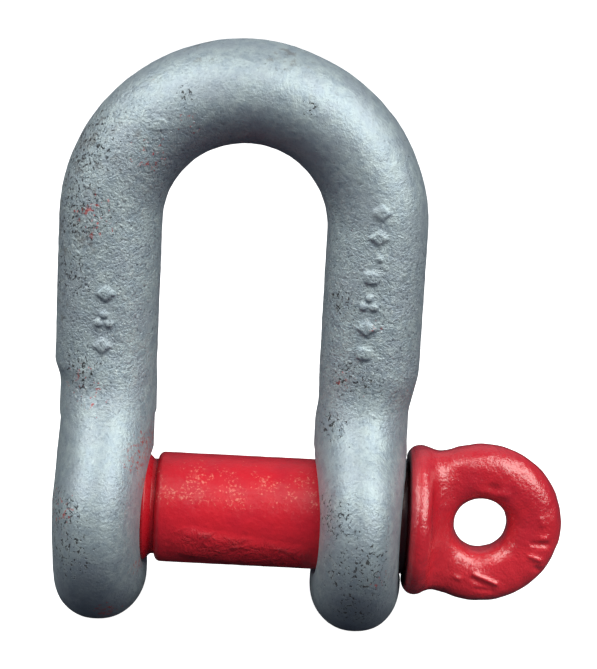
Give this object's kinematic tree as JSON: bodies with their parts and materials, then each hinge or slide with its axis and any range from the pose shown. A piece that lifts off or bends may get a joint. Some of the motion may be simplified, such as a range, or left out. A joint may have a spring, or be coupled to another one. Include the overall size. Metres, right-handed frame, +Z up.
{
  "type": "screw pin dee shackle",
  "caption": "Forged dee shackle with straight legs and a round crown. A red screw pin with a collar and an eye crosses the jaw, screws into the far ear and unscrews to open it.",
  "frame": {"origin": "on the pin's axis, midway between the two ears", "axes": "+X along the pin towards its eye, +Y to the back, +Z up to the crown"},
  "size_m": [0.1473, 0.066, 0.1689],
  "materials": {
    "galvanised_steel": "hot-dip galvanised, rough and matt",
    "thread_steel": "bare cut thread with paint overspray",
    "red_paint": "thick gloss red paint on a forging"
  },
  "bodies": {
    "shackle": {"shackle_body": "galvanised_steel"},
    "thread": {"pin_thread": "thread_steel"},
    "pin": {"screw_pin": "red_paint"}
  },
  "joints": [
    {"name": "pin_draw", "type": "slide", "parent": "shackle", "child": "thread", "axis": [1, 0, 0], "range_m": [0, 0.1235]},
    {"name": "pin_turn", "type": "hinge", "parent": "thread", "child": "pin", "pos_m": [0, 0, 0], "axis": [1, 0, 0], "range_deg": [0, 12240]}
  ],
  "couplings": [
    {"joint": "pin_draw", "follows": "pin_turn", "m_per_rad": 0.00057773}
  ]
}
